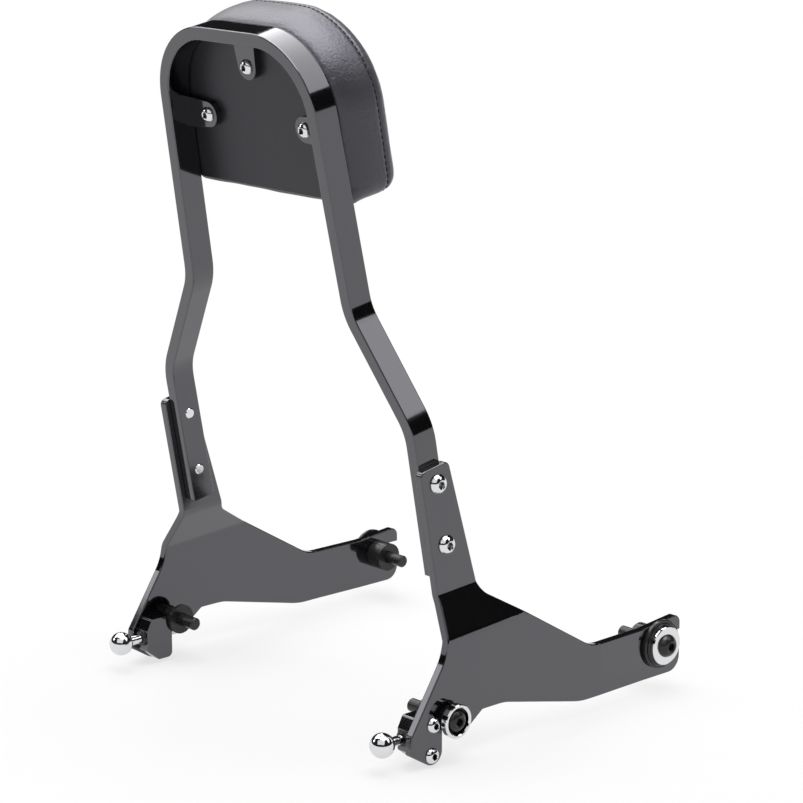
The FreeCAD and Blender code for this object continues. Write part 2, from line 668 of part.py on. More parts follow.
def dock_bolt(seat_x, post):
    """Button-head bolt through a post, with its thread free beyond the strut face."""
    shank = seat_x - STRUT_FACE
    bolt = button_screw(DOCK_BOLT_HEAD_RADIUS, DOCK_BOLT_HEAD_HEIGHT, DOCK_BOLT_RADIUS,
                        shank, DOCK_BOLT_SOCKET)
    thread = turned([
        (-shank, 0),
        (-shank, DOCK_THREAD_RADIUS),
        (-shank - DOCK_THREAD_LENGTH, DOCK_THREAD_RADIUS),
        (-shank - DOCK_THREAD_LENGTH - DOCK_THREAD_CHAMFER, DOCK_THREAD_RADIUS - DOCK_THREAD_CHAMFER),
        (-shank - DOCK_THREAD_LENGTH - DOCK_THREAD_CHAMFER, 0),
    ])
    return placed(bolt.fuse(thread).removeSplitter(), seat_x, *post)


def make_front_post():
    flange_start = ARM_OUTER + POST_PLATE_GAP
    step_start = flange_start + FRONT_FLANGE_LENGTH
    washer_start = step_start + FRONT_STEP_LENGTH
    washer_end = washer_start + FRONT_WASHER_LENGTH
    foot_end = ARM_INNER - POST_PLATE_GAP
    edge = POST_EDGE_CHAMFER
    bushing = turned([
        (STRUT_FACE, DOCK_BORE_RADIUS),
        (STRUT_FACE, POST_FOOT_RADIUS),
        (foot_end, POST_FOOT_RADIUS),
        (foot_end, POST_NECK_RADIUS),
        (flange_start, POST_NECK_RADIUS),
        (flange_start, FRONT_FLANGE_RADIUS),
        (step_start - edge, FRONT_FLANGE_RADIUS),
        (step_start, FRONT_FLANGE_RADIUS - edge),
        (step_start, FRONT_STEP_RADIUS),
        (washer_start - edge, FRONT_STEP_RADIUS),
        (washer_start, FRONT_STEP_RADIUS - edge),
        (washer_start, DOCK_BORE_RADIUS),
    ], *FRONT_POST)
    washer = turned([
        (washer_start, DOCK_BORE_RADIUS),
        (washer_start, FRONT_WASHER_RADIUS),
        (washer_end - edge, FRONT_WASHER_RADIUS),
        (washer_end, FRONT_WASHER_RADIUS - edge),
        (washer_end, DOCK_BORE_RADIUS),
    ], *FRONT_POST)
    return bushing, washer, dock_bolt(washer_end, FRONT_POST)


def make_rear_post():
    flange_start = LOW_OUTER + POST_PLATE_GAP
    cup_start = flange_start + REAR_FLANGE_LENGTH
    cup_end = cup_start + REAR_CUP_LENGTH
    seat = cup_start + REAR_CUP_FLOOR
    foot_end = LOW_INNER - LATCH_BLOCK_DEPTH - POST_PLATE_GAP
    edge = POST_EDGE_CHAMFER
    bushing = turned([
        (STRUT_FACE, DOCK_BORE_RADIUS),
        (STRUT_FACE, POST_FOOT_RADIUS),
        (foot_end, POST_FOOT_RADIUS),
        (foot_end, POST_NECK_RADIUS),
        (flange_start, POST_NECK_RADIUS),
        (flange_start, REAR_FLANGE_RADIUS),
        (cup_start - edge, REAR_FLANGE_RADIUS),
        (cup_start, REAR_FLANGE_RADIUS - edge),
        (cup_start, DOCK_BORE_RADIUS),
    ], *REAR_POST)
    cup = turned([
        (cup_start, DOCK_BORE_RADIUS),
        (cup_start, REAR_CUP_RADIUS - edge),
        (cup_start + edge, REAR_CUP_RADIUS),
        (cup_end - edge, REAR_CUP_RADIUS),
        (cup_end, REAR_CUP_RADIUS - edge),
        (cup_end, REAR_CUP_RECESS_RADIUS + edge),
        (cup_end - edge, REAR_CUP_RECESS_RADIUS),
        (seat, REAR_CUP_RECESS_RADIUS),
        (seat, DOCK_BORE_RADIUS),
    ], *REAR_POST)
    return bushing, cup, dock_bolt(seat, REAR_POST)


def turned_along_y(profile):
    """Solid turned about the latch's axis, from (y, radius) profile points."""
    points = [Vector(radius, y, 0) for y, radius in profile]
    wire = Part.makePolygon(points + [points[0]])
    solid = Part.Face(wire).revolve(Vector(0, 0, 0), Vector(0, 1, 0), 360)
    solid.translate(Vector(LATCH_AXIS_X, 0, LATCH_AXIS_Z))
    return solid


def make_latch():
    """Block, cap, plunger, knob, spring and screws of one pull latch."""
    rear, front = LATCH_BLOCK_REAR, LATCH_BLOCK_FRONT
    guide_start = front - PLUNGER_GUIDE_LENGTH
    cap_end = rear + LATCH_CAP_PLUG
    cap_start = rear - LATCH_CAP_HEAD
    shoulder_front = guide_start - REST_GAP
    shoulder_rear = shoulder_front - PLUNGER_SHOULDER_LENGTH
    knob_y = cap_start - KNOB_FROM_CAP
    top, bottom, corner = LATCH_BLOCK_TOP, LATCH_BLOCK_BOTTOM, LATCH_BLOCK_CORNER_RADIUS
    top_run, top_drop = LATCH_BLOCK_TOP_BEVEL
    low_run, low_rise = LATCH_BLOCK_LOW_BEVEL
    outline = rounded_polygon([
        (front, top, corner),
        (rear + top_run, top, corner),
        (rear, top - top_drop, corner),
        (rear, bottom + low_rise, corner),
        (rear + low_run, bottom, corner),
        (front, bottom, LATCH_BLOCK_FRONT_RADIUS),
    ])
    block = face_of(outline)
    block.rotate(Vector(0, 0, 0), Vector(1, 1, 1), 120)
    block.translate(Vector(LOW_INNER - LATCH_BLOCK_DEPTH, 0, 0))
    block = block.extrude(Vector(LATCH_BLOCK_DEPTH, 0, 0))
    guide_radius = PLUNGER_RADIUS + RUNNING_CLEARANCE
    bore = turned_along_y([
        (rear, 0),
        (rear, SPRING_CAVITY_RADIUS),
        (guide_start, SPRING_CAVITY_RADIUS),
        (guide_start, guide_radius),
        (front, guide_radius),
        (front, 0),
    ])
    block = block.cut(bore)
    screw = button_screw(SMALL_SCREW_HEAD_RADIUS, SMALL_SCREW_HEAD_HEIGHT, SMALL_SCREW_RADIUS,
                         PLATE_THICKNESS + LATCH_SCREW_REACH, SMALL_SCREW_SOCKET)
    screws = []
    for y, z in (LATCH_SCREW_TOP, LATCH_SCREW_LOW):
        block = block.cut(disc(SMALL_SCREW_RADIUS + THREAD_CLEARANCE,
                               LOW_INNER - LATCH_SCREW_REACH - LATCH_SCREW_RUNOUT, LOW_INNER, y, z))
        screws.append(placed(screw, LOW_OUTER, y, z))
    rod_hole = PLUNGER_ROD_RADIUS + RUNNING_CLEARANCE
    plug_radius = SPRING_CAVITY_RADIUS - THREAD_CLEARANCE
    cap = turned_along_y([
        (cap_start, rod_hole),
        (cap_start, LATCH_CAP_RADIUS - LATCH_CAP_CHAMFER),
        (cap_start + LATCH_CAP_CHAMFER, LATCH_CAP_RADIUS),
        (rear, LATCH_CAP_RADIUS),
        (rear, plug_radius),
        (cap_end, plug_radius),
        (cap_end, rod_hole),
    ])
    stem_end = cap_start - REST_GAP
    nose_side = PLUNGER_RADIUS - PLUNGER_NOSE_CHAMFER
    plunger = turned_along_y([
        (knob_y, 0),
        (knob_y, PLUNGER_ROD_RADIUS),
        (shoulder_rear, PLUNGER_ROD_RADIUS),
        (shoulder_rear, PLUNGER_SHOULDER_RADIUS),
        (shoulder_front, PLUNGER_SHOULDER_RADIUS),
        (shoulder_front, PLUNGER_RADIUS),
        (PLUNGER_REACH - PLUNGER_NOSE_CHAMFER, PLUNGER_RADIUS),
        (PLUNGER_REACH, nose_side),
        (PLUNGER_REACH, 0),
    ])
    centre = Vector(LATCH_AXIS_X, knob_y, LATCH_AXIS_Z)
    ball = Part.makeSphere(KNOB_RADIUS, centre)
    stem_length = stem_end - knob_y
    stem = Part.makeCylinder(KNOB_STEM_RADIUS, stem_length, centre, Vector(0, 1, 0))
    socket_radius = PLUNGER_ROD_RADIUS + THREAD_CLEARANCE
    socket = Part.makeCylinder(socket_radius, stem_length, centre, Vector(0, 1, 0))
    knob = ball.fuse(stem).cut(socket)
    coil_start = cap_end + SPRING_WIRE_RADIUS + SPRING_END_GAP
    coil_end = shoulder_rear - SPRING_WIRE_RADIUS - SPRING_END_GAP
    spring = make_spring(coil_start, coil_end)
    return {
        "latch_block": block,
        "latch_cap": cap,
        "latch_plunger": plunger,
        "latch_knob": knob,
        "latch_spring": spring,
        "latch_screws": Part.makeCompound(screws),
    }


def make_spring(start, end):
    """Round-wire compression spring along the latch's axis."""
    pitch = (end - start) / SPRING_TURNS
    helix = Part.makeHelix(pitch, end - start, SPRING_RADIUS)
    section = Part.Wire([Part.makeCircle(SPRING_WIRE_RADIUS, Vector(SPRING_RADIUS, 0, 0), Vector(0, 1, 0))])
    spring = Part.Wire(helix.Edges).makePipeShell([section], True, True)
    spring.rotate(Vector(0, 0, 0), X_AXIS, -90)
    spring.translate(Vector(LATCH_AXIS_X, start, LATCH_AXIS_Z))
    return spring


def main():
    top_tab, left_tab, right_tab = make_pad_tabs()
    nodes = {
        "hoop": make_hoop(),
        "top_pad_tab": top_tab,
        "left_pad_tab": left_tab,
        "right_pad_tab": right_tab,
        "pad_screws": make_pad_screws(),
    }
    nodes.update(make_pad())
    front_bushing, front_washer, front_bolt = make_front_post()
    rear_bushing, rear_cup, rear_bolt = make_rear_post()
    right_side = {
        "side_plate": make_side_plate(),
        "hoop_bolts": make_leg_bolts(),
        "front_bushing": front_bushing,
        "front_washer": front_washer,
        "front_bolt": front_bolt,
        "rear_bushing": rear_bushing,
        "rear_cup": rear_cup,
        "rear_bolt": rear_bolt,
    }
    right_side.update(make_latch())
    for name, shape in right_side.items():
        nodes["right_" + name] = shape
        nodes["left_" + name] = mirrored(shape)
    os.makedirs("parts", exist_ok=True)
    for name, shape in nodes.items():
        shape.exportStep(os.path.join("parts", name + ".step"))
        print(name, len(shape.Solids), round(shape.Volume, 1), shape.isValid())


main()
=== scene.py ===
import math
import bpy
import numpy as np
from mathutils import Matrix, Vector


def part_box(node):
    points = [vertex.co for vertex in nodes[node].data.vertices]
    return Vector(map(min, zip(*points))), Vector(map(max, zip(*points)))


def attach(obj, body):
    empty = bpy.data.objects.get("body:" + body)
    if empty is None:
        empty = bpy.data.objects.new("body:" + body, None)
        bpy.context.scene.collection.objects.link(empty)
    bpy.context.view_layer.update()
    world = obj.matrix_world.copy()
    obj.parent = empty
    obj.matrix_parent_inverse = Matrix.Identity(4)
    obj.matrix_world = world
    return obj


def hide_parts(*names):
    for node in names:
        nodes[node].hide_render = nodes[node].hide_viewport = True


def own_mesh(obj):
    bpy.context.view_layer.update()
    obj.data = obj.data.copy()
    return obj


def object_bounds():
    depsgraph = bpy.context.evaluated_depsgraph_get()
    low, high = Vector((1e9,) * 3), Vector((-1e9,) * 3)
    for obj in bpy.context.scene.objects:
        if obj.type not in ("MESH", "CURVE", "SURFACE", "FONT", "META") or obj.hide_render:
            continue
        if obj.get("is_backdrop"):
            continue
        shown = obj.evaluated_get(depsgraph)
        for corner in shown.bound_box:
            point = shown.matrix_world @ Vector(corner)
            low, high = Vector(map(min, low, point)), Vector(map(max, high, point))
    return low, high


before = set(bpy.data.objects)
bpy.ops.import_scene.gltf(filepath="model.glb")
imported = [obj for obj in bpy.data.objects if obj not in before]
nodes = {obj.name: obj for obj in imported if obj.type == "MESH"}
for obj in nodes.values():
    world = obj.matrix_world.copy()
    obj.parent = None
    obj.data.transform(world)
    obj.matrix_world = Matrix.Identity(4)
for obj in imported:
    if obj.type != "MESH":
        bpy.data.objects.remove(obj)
cad_low, cad_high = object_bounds()

# Bent bar hoop with its welded pad tabs, the side plates and the latch blocks. All are mild steel,
# blasted and finished together in gloss black powder coat.
MM_PER_METRE = 1000


def linear(colour):
    """Linear RGBA of an sRGB hex colour: each channel c becomes ((c + 0.055) / 1.055) to the 2.4."""
    channels = np.array([int(colour[i:i + 2], 16) for i in (1, 3, 5)]) / 255
    values = np.where(channels <= 0.04045, channels / 12.92, ((channels + 0.055) / 1.055) ** 2.4)
    return (*values.tolist(), 1.0)


def add_node(tree, kind, links=None, **settings):
    """Add one node with its settings; links maps each input to a value or to another node's output."""
    made = tree.nodes.new(kind)
    for name, value in settings.items():
        setattr(made, name, value)
    for socket, value in (links or {}).items():
        if isinstance(value, bpy.types.NodeSocket):
            tree.links.new(value, made.inputs[socket])
        else:
            made.inputs[socket].default_value = value
    return made


def new_material(name):
    """An empty node material and its tree."""
    made = bpy.data.materials.new(name)
    made.use_nodes = True
    made.node_tree.nodes.clear()
    return made, made.node_tree


def per_mm(size):
    """Texture scale whose features are about that many millimetres across in object space."""
    return MM_PER_METRE / size


def paint(material, *names):
    """Give CAD nodes one material."""
    for name in names:
        slots = nodes[name].data.materials
        slots.clear()
        slots.append(material)


# Powder coat: a hard polyester film, glossy with a faint orange peel about 3 mm across. It draws thin
# over the bar's and the plates' edges, where handling has dulled it in places.
powder_coat, tree = new_material("gloss_black_powder_coat")
place = add_node(tree, "ShaderNodeTexCoord").outputs["Object"]
peel = add_node(tree, "ShaderNodeTexNoise", {"Vector": place, "Scale": per_mm(3), "Detail": 1.0})
haze = add_node(tree, "ShaderNodeTexNoise", {"Vector": place, "Scale": per_mm(40), "Detail": 3.0})
gloss = add_node(tree, "ShaderNodeMapRange",
                 {"Value": haze.outputs["Fac"], "To Min": 0.05, "To Max": 0.11})
ripple = add_node(tree, "ShaderNodeBump",
                  {"Height": peel.outputs["Fac"], "Strength": 0.012, "Distance": 0.0004})
flat = add_node(tree, "ShaderNodeNewGeometry").outputs["Normal"]
rounded = add_node(tree, "ShaderNodeBevel", {"Radius": 0.0012}, samples=4).outputs["Normal"]
lean = add_node(tree, "ShaderNodeVectorMath", {0: flat, 1: rounded}, operation="DOT_PRODUCT")
edge = add_node(tree, "ShaderNodeMapRange",
                {"Value": lean.outputs["Value"], "From Min": 0.99, "From Max": 0.85})
rubbed = add_node(tree, "ShaderNodeMath", {0: edge.outputs["Result"], 1: haze.outputs["Fac"]},
                  operation="MULTIPLY")
tone = add_node(tree, "ShaderNodeMix", {
    "Factor": rubbed.outputs["Value"], "A": linear("#070708"), "B": linear("#323134"),
}, data_type="RGBA")
dulled = add_node(tree, "ShaderNodeMath", {
    0: rubbed.outputs["Value"], 1: 0.12, 2: gloss.outputs["Result"],
}, operation="MULTIPLY_ADD")
film = add_node(tree, "ShaderNodeBsdfPrincipled", {
    "Base Color": tone.outputs["Result"],
    "Roughness": dulled.outputs["Value"],
    "IOR": 1.62,
    "Specular IOR Level": 1.0,
    "Specular Tint": linear("#f5f3fc"),
    "Normal": ripple.outputs["Normal"],
})
add_node(tree, "ShaderNodeOutputMaterial", {"Surface": film.outputs["BSDF"]})
paint(powder_coat, "hoop", "top_pad_tab", "left_pad_tab", "right_pad_tab")
for side in ("left", "right"):
    paint(powder_coat, side + "_side_plate", side + "_latch_block")

# Screws, washers, post cups and latch knobs: turned and headed steel, polished and chrome plated.
# The button heads take a hex key and stand on the plates.

# Chrome: bright nickel under chromium, nearly a mirror, with faint polishing marks. Its colour is painted
# dark inside the key sockets and other hollows by ambient occlusion: painted shade.
chrome, tree = new_material("polished_chrome_plate")
place = add_node(tree, "ShaderNodeTexCoord").outputs["Object"]
polish = add_node(tree, "ShaderNodeTexNoise", {"Vector": place, "Scale": per_mm(1.5), "Detail": 4.0})
gloss = add_node(tree, "ShaderNodeMapRange",
                 {"Value": polish.outputs["Fac"], "To Min": 0.04, "To Max": 0.13})
# Painted shade: ambient occlusion darkens the chrome's colour towards #1c1b1c in sockets and hollows.
hollow = add_node(tree, "ShaderNodeAmbientOcclusion", {"Distance": 0.004}, samples=8)
painted_hollow_shade = add_node(tree, "ShaderNodeMapRange",
                {"Value": hollow.outputs["AO"], "From Min": 0.25, "From Max": 0.75})
tone = add_node(tree, "ShaderNodeMix", {
    "Factor": painted_hollow_shade.outputs["Result"], "A": linear("#1c1b1c"), "B": linear("#dcdddf"),
}, data_type="RGBA")
plate = add_node(tree, "ShaderNodeBsdfPrincipled", {
    "Base Color": tone.outputs["Result"],
    "Metallic": 1.0,
    "Roughness": gloss.outputs["Result"],
})
add_node(tree, "ShaderNodeOutputMaterial", {"Surface": plate.outputs["BSDF"]})
paint(chrome, "pad_screws")
for side in ("left", "right"):
    paint(chrome, *(side + name for name in (
        "_hoop_bolts", "_front_washer", "_rear_cup", "_latch_knob", "_latch_screws")))

# Docking bushings and their bolts, and the latch caps: turned steel left black.
# Each bolt runs through its bushing and ends in a free stud.

# Black oxide: a thin satin conversion layer over machined steel, showing fine turning marks.
black_oxide, tree = new_material("black_oxide_steel")
place = add_node(tree, "ShaderNodeTexCoord").outputs["Object"]
grain = add_node(tree, "ShaderNodeTexNoise", {"Vector": place, "Scale": per_mm(0.8), "Detail": 4.0})
gloss = add_node(tree, "ShaderNodeMapRange",
                 {"Value": grain.outputs["Fac"], "To Min": 0.18, "To Max": 0.34})
layer = add_node(tree, "ShaderNodeBsdfPrincipled", {
    "Base Color": linear("#2a2829"),
    "Metallic": 0.35,
    "Roughness": gloss.outputs["Result"],
})
add_node(tree, "ShaderNodeOutputMaterial", {"Surface": layer.outputs["BSDF"]})
for side in ("left", "right"):
    paint(black_oxide, *(side + name for name in (
        "_front_bushing", "_front_bolt", "_rear_bushing", "_rear_bolt", "_latch_cap")))

# Latch plungers and the tee nuts in the board: turned and pressed steel, zinc plated.
# The plungers slide in the latch blocks and the tee nuts are driven into the board.

# Zinc plate: a bright bluish grey metal with a fine uneven spangle.
zinc, tree = new_material("bright_zinc_plate")
place = add_node(tree, "ShaderNodeTexCoord").outputs["Object"]
spangle = add_node(tree, "ShaderNodeTexVoronoi", {"Vector": place, "Scale": per_mm(1.2)})
gloss = add_node(tree, "ShaderNodeMapRange",
                 {"Value": spangle.outputs["Distance"], "To Min": 0.16, "To Max": 0.3})
plate = add_node(tree, "ShaderNodeBsdfPrincipled", {
    "Base Color": linear("#c4c6c8"),
    "Metallic": 1.0,
    "Roughness": gloss.outputs["Result"],
})
add_node(tree, "ShaderNodeOutputMaterial", {"Surface": plate.outputs["BSDF"]})
paint(zinc, "pad_tee_nuts")
for side in ("left", "right"):
    paint(zinc, side + "_latch_plunger")

# Latch springs: zinc plated spring wire coiled round each plunger's rod, between the cap and the
# plunger's shoulder. Each one closes up as its knob is pulled; the coil here is drawn at one length.
WIRE_RADIUS = 0.00045
COIL_TURNS = 4
COIL_STATIONS = 24
WIRE_SIDES = 8


def coil(low, high):
    """Points of a coil that fills the box between two corners, one closed ring for each station.

    The station at turn a lies at the box's middle + radius (cos a, sin a) across the axis, and its height
    along the axis rises evenly. Its ring adds wire radius times (cos b outward + sin b along the axis).
    """
    turn = np.linspace(0, 2 * np.pi * COIL_TURNS, COIL_STATIONS * COIL_TURNS + 1)[:, None]
    round_wire = np.linspace(0, 2 * np.pi, WIRE_SIDES, endpoint=False)
    reach = (high.x - low.x) / 2 - WIRE_RADIUS + WIRE_RADIUS * np.cos(round_wire)
    along = np.linspace(low.y + WIRE_RADIUS, high.y - WIRE_RADIUS, len(turn))[:, None]
    return np.stack(np.broadcast_arrays(
        (low.x + high.x) / 2 + reach * np.cos(turn),
        along + WIRE_RADIUS * np.sin(round_wire),
        (low.z + high.z) / 2 + reach * np.sin(turn)), axis=-1)


def grid_mesh(name, points, closed_ends=False):
    """Mesh of a grid of points that closes on itself along its second axis; ends may be capped."""
    rows, columns = points.shape[:2]
    index = np.arange(rows * columns).reshape(rows, columns)
    following = np.roll(index, -1, axis=1)
    quads = np.stack([index[:-1], following[:-1], following[1:], index[1:]], axis=-1).reshape(-1, 4)
    faces = quads.tolist()
    if closed_ends:
        faces += [index[0, ::-1].tolist(), index[-1].tolist()]
    made = bpy.data.meshes.new(name)
    made.from_pydata(points.reshape(-1, 3).tolist(), [], faces)
    made.update()
    return made


def smooth(mesh):
    """Shade a mesh smooth."""
    mesh.polygons.foreach_set("use_smooth", np.ones(len(mesh.polygons), bool))


def shown(name, mesh, material, body="frame"):
    """Object of a mesh with its material, riding on a body."""
    mesh.materials.append(material)
    made = bpy.data.objects.new(name, mesh)
    bpy.context.scene.collection.objects.link(made)
    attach(made, body)
    return made


for side in ("left", "right"):
    low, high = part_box(side + "_latch_spring")
    coil_mesh = grid_mesh(side + "_spring", coil(low, high), closed_ends=True)
    smooth(coil_mesh)
    spring = shown(side + "_spring", coil_mesh, zinc)
    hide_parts(side + "_latch_spring")
    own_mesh(spring)

# Pad board: birch plywood cut to the pad's outline and drilled for the three tee nuts.
# The cover hides it.

# Plywood: birch face veneer with long faint grain along the width.
plywood, tree = new_material("birch_plywood")
place = add_node(tree, "ShaderNodeTexCoord").outputs["Object"]
stretch = add_node(tree, "ShaderNodeMapping", {"Vector": place, "Scale": (0.05, 1.0, 1.0)})
grain = add_node(tree, "ShaderNodeTexNoise",
                 {"Vector": stretch.outputs["Vector"], "Scale": per_mm(2), "Detail": 5.0})
tone = add_node(tree, "ShaderNodeMix", {
    "Factor": grain.outputs["Fac"], "A": linear("#b98f5e"), "B": linear("#d9b989"),
}, data_type="RGBA")
veneer = add_node(tree, "ShaderNodeBsdfPrincipled",
                  {"Base Color": tone.outputs["Result"], "Roughness": 0.7})
add_node(tree, "ShaderNodeOutputMaterial", {"Surface": veneer.outputs["BSDF"]})
paint(plywood, "pad_board")

# Pad: a foam block on the board, in a sewn vinyl cover with a boxed side and a crowned front panel.
# The cover's margin is turned in behind and covered by the back panel.
RECLINE = math.radians(10.4)
LEG_BOLT = (11.3, 116.3)
PAD_REAR = 9.525
PAD_TOP = 350.9
PAD_HEIGHT = 123.0
PAD_HALF_WIDTH = 86.0
PAD_TOP_RADIUS = 63.5
PAD_BOTTOM_RADIUS = 12.0
LEAST_RADIUS = 0.5
REAR_OUT = 0.3
REAR_RADIUS = 3.5
REAR_DEPTH = 1.5
REAR_INSETS = (40.0, 26.0, 14.0, 6.0, 2.5, 0.8)
WALL_REACH = 3.5
WALL_START = 0.6
WALL_ROWS = 12
WALL_PAST_SEAM = 1.0
BOARD_EDGE = 4.0
SEAM_OUT = 32.0
SEAM_DEPTH = 0.9
SEAM_HALF_WIDTH = 1.3
SEAM_FADE = 6.0
SEAM_HOLD = 2.4
FRONT_RUN = 11.0
FRONT_INSETS = (18.0, 26.0, 40.0)
CROWN = 12.0
MOST_FILL = 4.5
FILL_STEPS = 20
CLOTH_VOXEL = 0.004
NARROWING = 5.0
NARROWING_RUN = 24.0
NARROWING_FADE = 14.0
ARCH = 1.4
ARCH_HALF_WIDTH = 66.0
SLACK = 1.4
SLACK_OUT = 4.5
SLACK_REACH = 6.0
SLACK_FADE = 8.0
SLACK_MEAN = 0.7
LONG_WAVE, LONG_WAVE_RUN, LONG_WAVE_START = 0.18, 13.0, 0.7
SHORT_WAVE, SHORT_WAVE_RUN, SHORT_WAVE_LEAN = 0.08, 5.0, 0.2


def on_hoop(across, up, out):
    """Metres in the row frame from mm across, up the legs and out from the pad's rear plane.

    Up runs along the reclined legs and out is square to it, so y = -up sin r + out cos r and
    z = up cos r + out sin r, from the low leg bolt.
    """
    forward = out + PAD_REAR
    y = LEG_BOLT[0] - up * math.sin(RECLINE) + forward * math.cos(RECLINE)
    z = LEG_BOLT[1] + up * math.cos(RECLINE) + forward * math.sin(RECLINE)
    return np.stack(np.broadcast_arrays(across, y, z), axis=-1) / MM_PER_METRE


def off_hoop(points):
    """The way back from metres in the row frame to mm across, up the legs and out from the pad's rear."""
    across, y, z = (points * MM_PER_METRE).T
    y, z = y - LEG_BOLT[0], z - LEG_BOLT[1]
    up = z * math.cos(RECLINE) - y * math.sin(RECLINE)
    return np.stack([across, up, y * math.cos(RECLINE) + z * math.sin(RECLINE) - PAD_REAR], axis=-1)


def outline_distance(across, up):
    """Distance outside the pad's outline (negative inside) and the unit direction square to it.

    A box with round corners: with q = |p - centre| - half size + corner radius, the distance is
    |max(q, 0)| + min(max(qx, qy), 0) - radius, where the radius is that of the nearest corner.
    """
    middle = PAD_TOP - PAD_HEIGHT / 2
    radius = np.where(up > middle, PAD_TOP_RADIUS, PAD_BOTTOM_RADIUS)
    offset = np.stack([across, up - middle], axis=-1)
    q = np.abs(offset) - np.array([PAD_HALF_WIDTH, PAD_HEIGHT / 2]) + radius[:, None]
    out = np.maximum(q, 0)
    length = np.linalg.norm(out, axis=-1)
    distance = length + np.minimum(q.max(axis=-1), 0) - radius
    inside = np.stack([q[:, 0] >= q[:, 1], q[:, 0] < q[:, 1]], axis=-1)
    direction = np.where((length > 1e-9)[:, None], out / np.maximum(length, 1e-9)[:, None], inside)
    return distance, direction * np.sign(offset)


def narrowed(place):
    """Points moved in towards the hoop behind: the top and sides narrow by d (1 - out / run) squared.

    The move fades towards the middle of the pad and is left out at its bottom edge.
    """
    gap, outward = outline_distance(place[:, 0], place[:, 1])
    under = np.clip(-outward[:, 1], 0, 1)
    edge = np.clip(1 + gap / NARROWING_FADE, 0, 1) * (1 - under)
    amount = NARROWING * np.clip(1 - place[:, 2] / NARROWING_RUN, 0, 1) ** 2 * edge
    moved = place.copy()
    moved[:, :2] -= outward * amount[:, None]
    return moved


def arched(across, up, out):
    """Heights raised where the filling arches the top edge between its corners.

    The rise is a (1 - (across / half width) squared) squared, growing from the bar out to the seam
    and up over the upper half of the pad.
    """
    over = np.clip(1 - (across / ARCH_HALF_WIDTH) ** 2, 0, 1) ** 2
    high = np.clip((up - PAD_TOP) * 2 / PAD_HEIGHT + 1, 0, 1)
    return up + ARCH * over * high * np.clip(out / SEAM_OUT, 0, 1)


def pad_outline(inset):
    """Points round the pad's outline, moved inwards by inset (a column, one row for each inset).

    The outline is a rectangle with two large round corners above and two small ones below: four
    arcs centre + radius (cos a, sin a), joined by straight runs. Radii shrink with the inset.
    """
    inset = np.atleast_1d(np.asarray(inset, float))[:, None]
    width = PAD_HALF_WIDTH - inset
    top, bottom = PAD_TOP - inset, PAD_TOP - PAD_HEIGHT + inset
    big = np.maximum(PAD_TOP_RADIUS - inset, LEAST_RADIUS)
    small = np.maximum(PAD_BOTTOM_RADIUS - inset, LEAST_RADIUS)
    big = np.minimum(big, width)
    # Each corner: its centre across and up, radius, first and last angle, the points on its arc and
    # those on the straight run before it.
    corners = (
        (width - big, top - big, big, 90, 0, 40, 14),
        (width - small, bottom + small, small, 0, -90, 10, 18),
        (-(width - small), bottom + small, small, -90, -180, 10, 48),
        (-(width - big), top - big, big, 180, 90, 40, 18),
    )
    across, up = [], []
    for index, (cx, cy, radius, start, end, count, _) in enumerate(corners):
        angle = np.radians(np.linspace(start, end, count))
        across.append(cx + radius * np.cos(angle))
        up.append(cy + radius * np.sin(angle))
        run = corners[(index + 1) % 4][6]
        nx, ny, nr, begin = corners[(index + 1) % 4][:4]
        first = (across[-1][:, -1:], up[-1][:, -1:])
        last = (nx + nr * math.cos(math.radians(begin)), ny + nr * math.sin(math.radians(begin)))
        share = np.linspace(0, 1, run + 2)[1:-1]
        across.append(first[0] + (last[0] - first[0]) * share)
        up.append(first[1] + (last[1] - first[1]) * share)
    return np.concatenate(across, axis=1), np.concatenate(up, axis=1)


def coordinates(mesh):
    """Array of a mesh's vertex positions."""
    flat = np.empty(len(mesh.vertices) * 3)
    mesh.vertices.foreach_get("co", flat)
    return flat.reshape(-1, 3)


# Upholstery vinyl: embossed PVC on a knit back. Its pebble grain is 1 mm, drawn at 2 mm to show here.
vinyl, tree = new_material("black_grained_vinyl")
place = add_node(tree, "ShaderNodeTexCoord").outputs["Object"]
pebble = add_node(tree, "ShaderNodeTexVoronoi", {"Vector": place, "Scale": per_mm(2)},
                  feature="SMOOTH_F1")
crease = add_node(tree, "ShaderNodeTexNoise", {"Vector": place, "Scale": per_mm(1.5), "Detail": 3.0})
relief = add_node(tree, "ShaderNodeMath",
                  {0: pebble.outputs["Distance"], 1: crease.outputs["Fac"]}, operation="ADD")
emboss = add_node(tree, "ShaderNodeBump",
                  {"Height": relief.outputs["Value"], "Strength": 0.34, "Distance": 0.0005})
worn = add_node(tree, "ShaderNodeTexNoise", {"Vector": place, "Scale": per_mm(60), "Detail": 3.0})
gloss = add_node(tree, "ShaderNodeMapRange",
                 {"Value": worn.outputs["Fac"], "To Min": 0.41, "To Max": 0.49})
tone = add_node(tree, "ShaderNodeMix", {
    "Factor": crease.outputs["Fac"], "A": linear("#18181b"), "B": linear("#222225"),
}, data_type="RGBA")
skin = add_node(tree, "ShaderNodeBsdfPrincipled", {
    "Base Color": tone.outputs["Result"],
    "Roughness": gloss.outputs["Result"],
    "IOR": 1.55,
    "Specular IOR Level": 0.78,
    "Specular Tint": linear("#f2f0ff"),
    "Sheen Weight": 0.4,
    "Sheen Roughness": 0.4,
    "Sheen Tint": linear("#e6e6ea"),
    "Normal": emboss.outputs["Normal"],
})
add_node(tree, "ShaderNodeOutputMaterial", {"Surface": skin.outputs["BSDF"]})

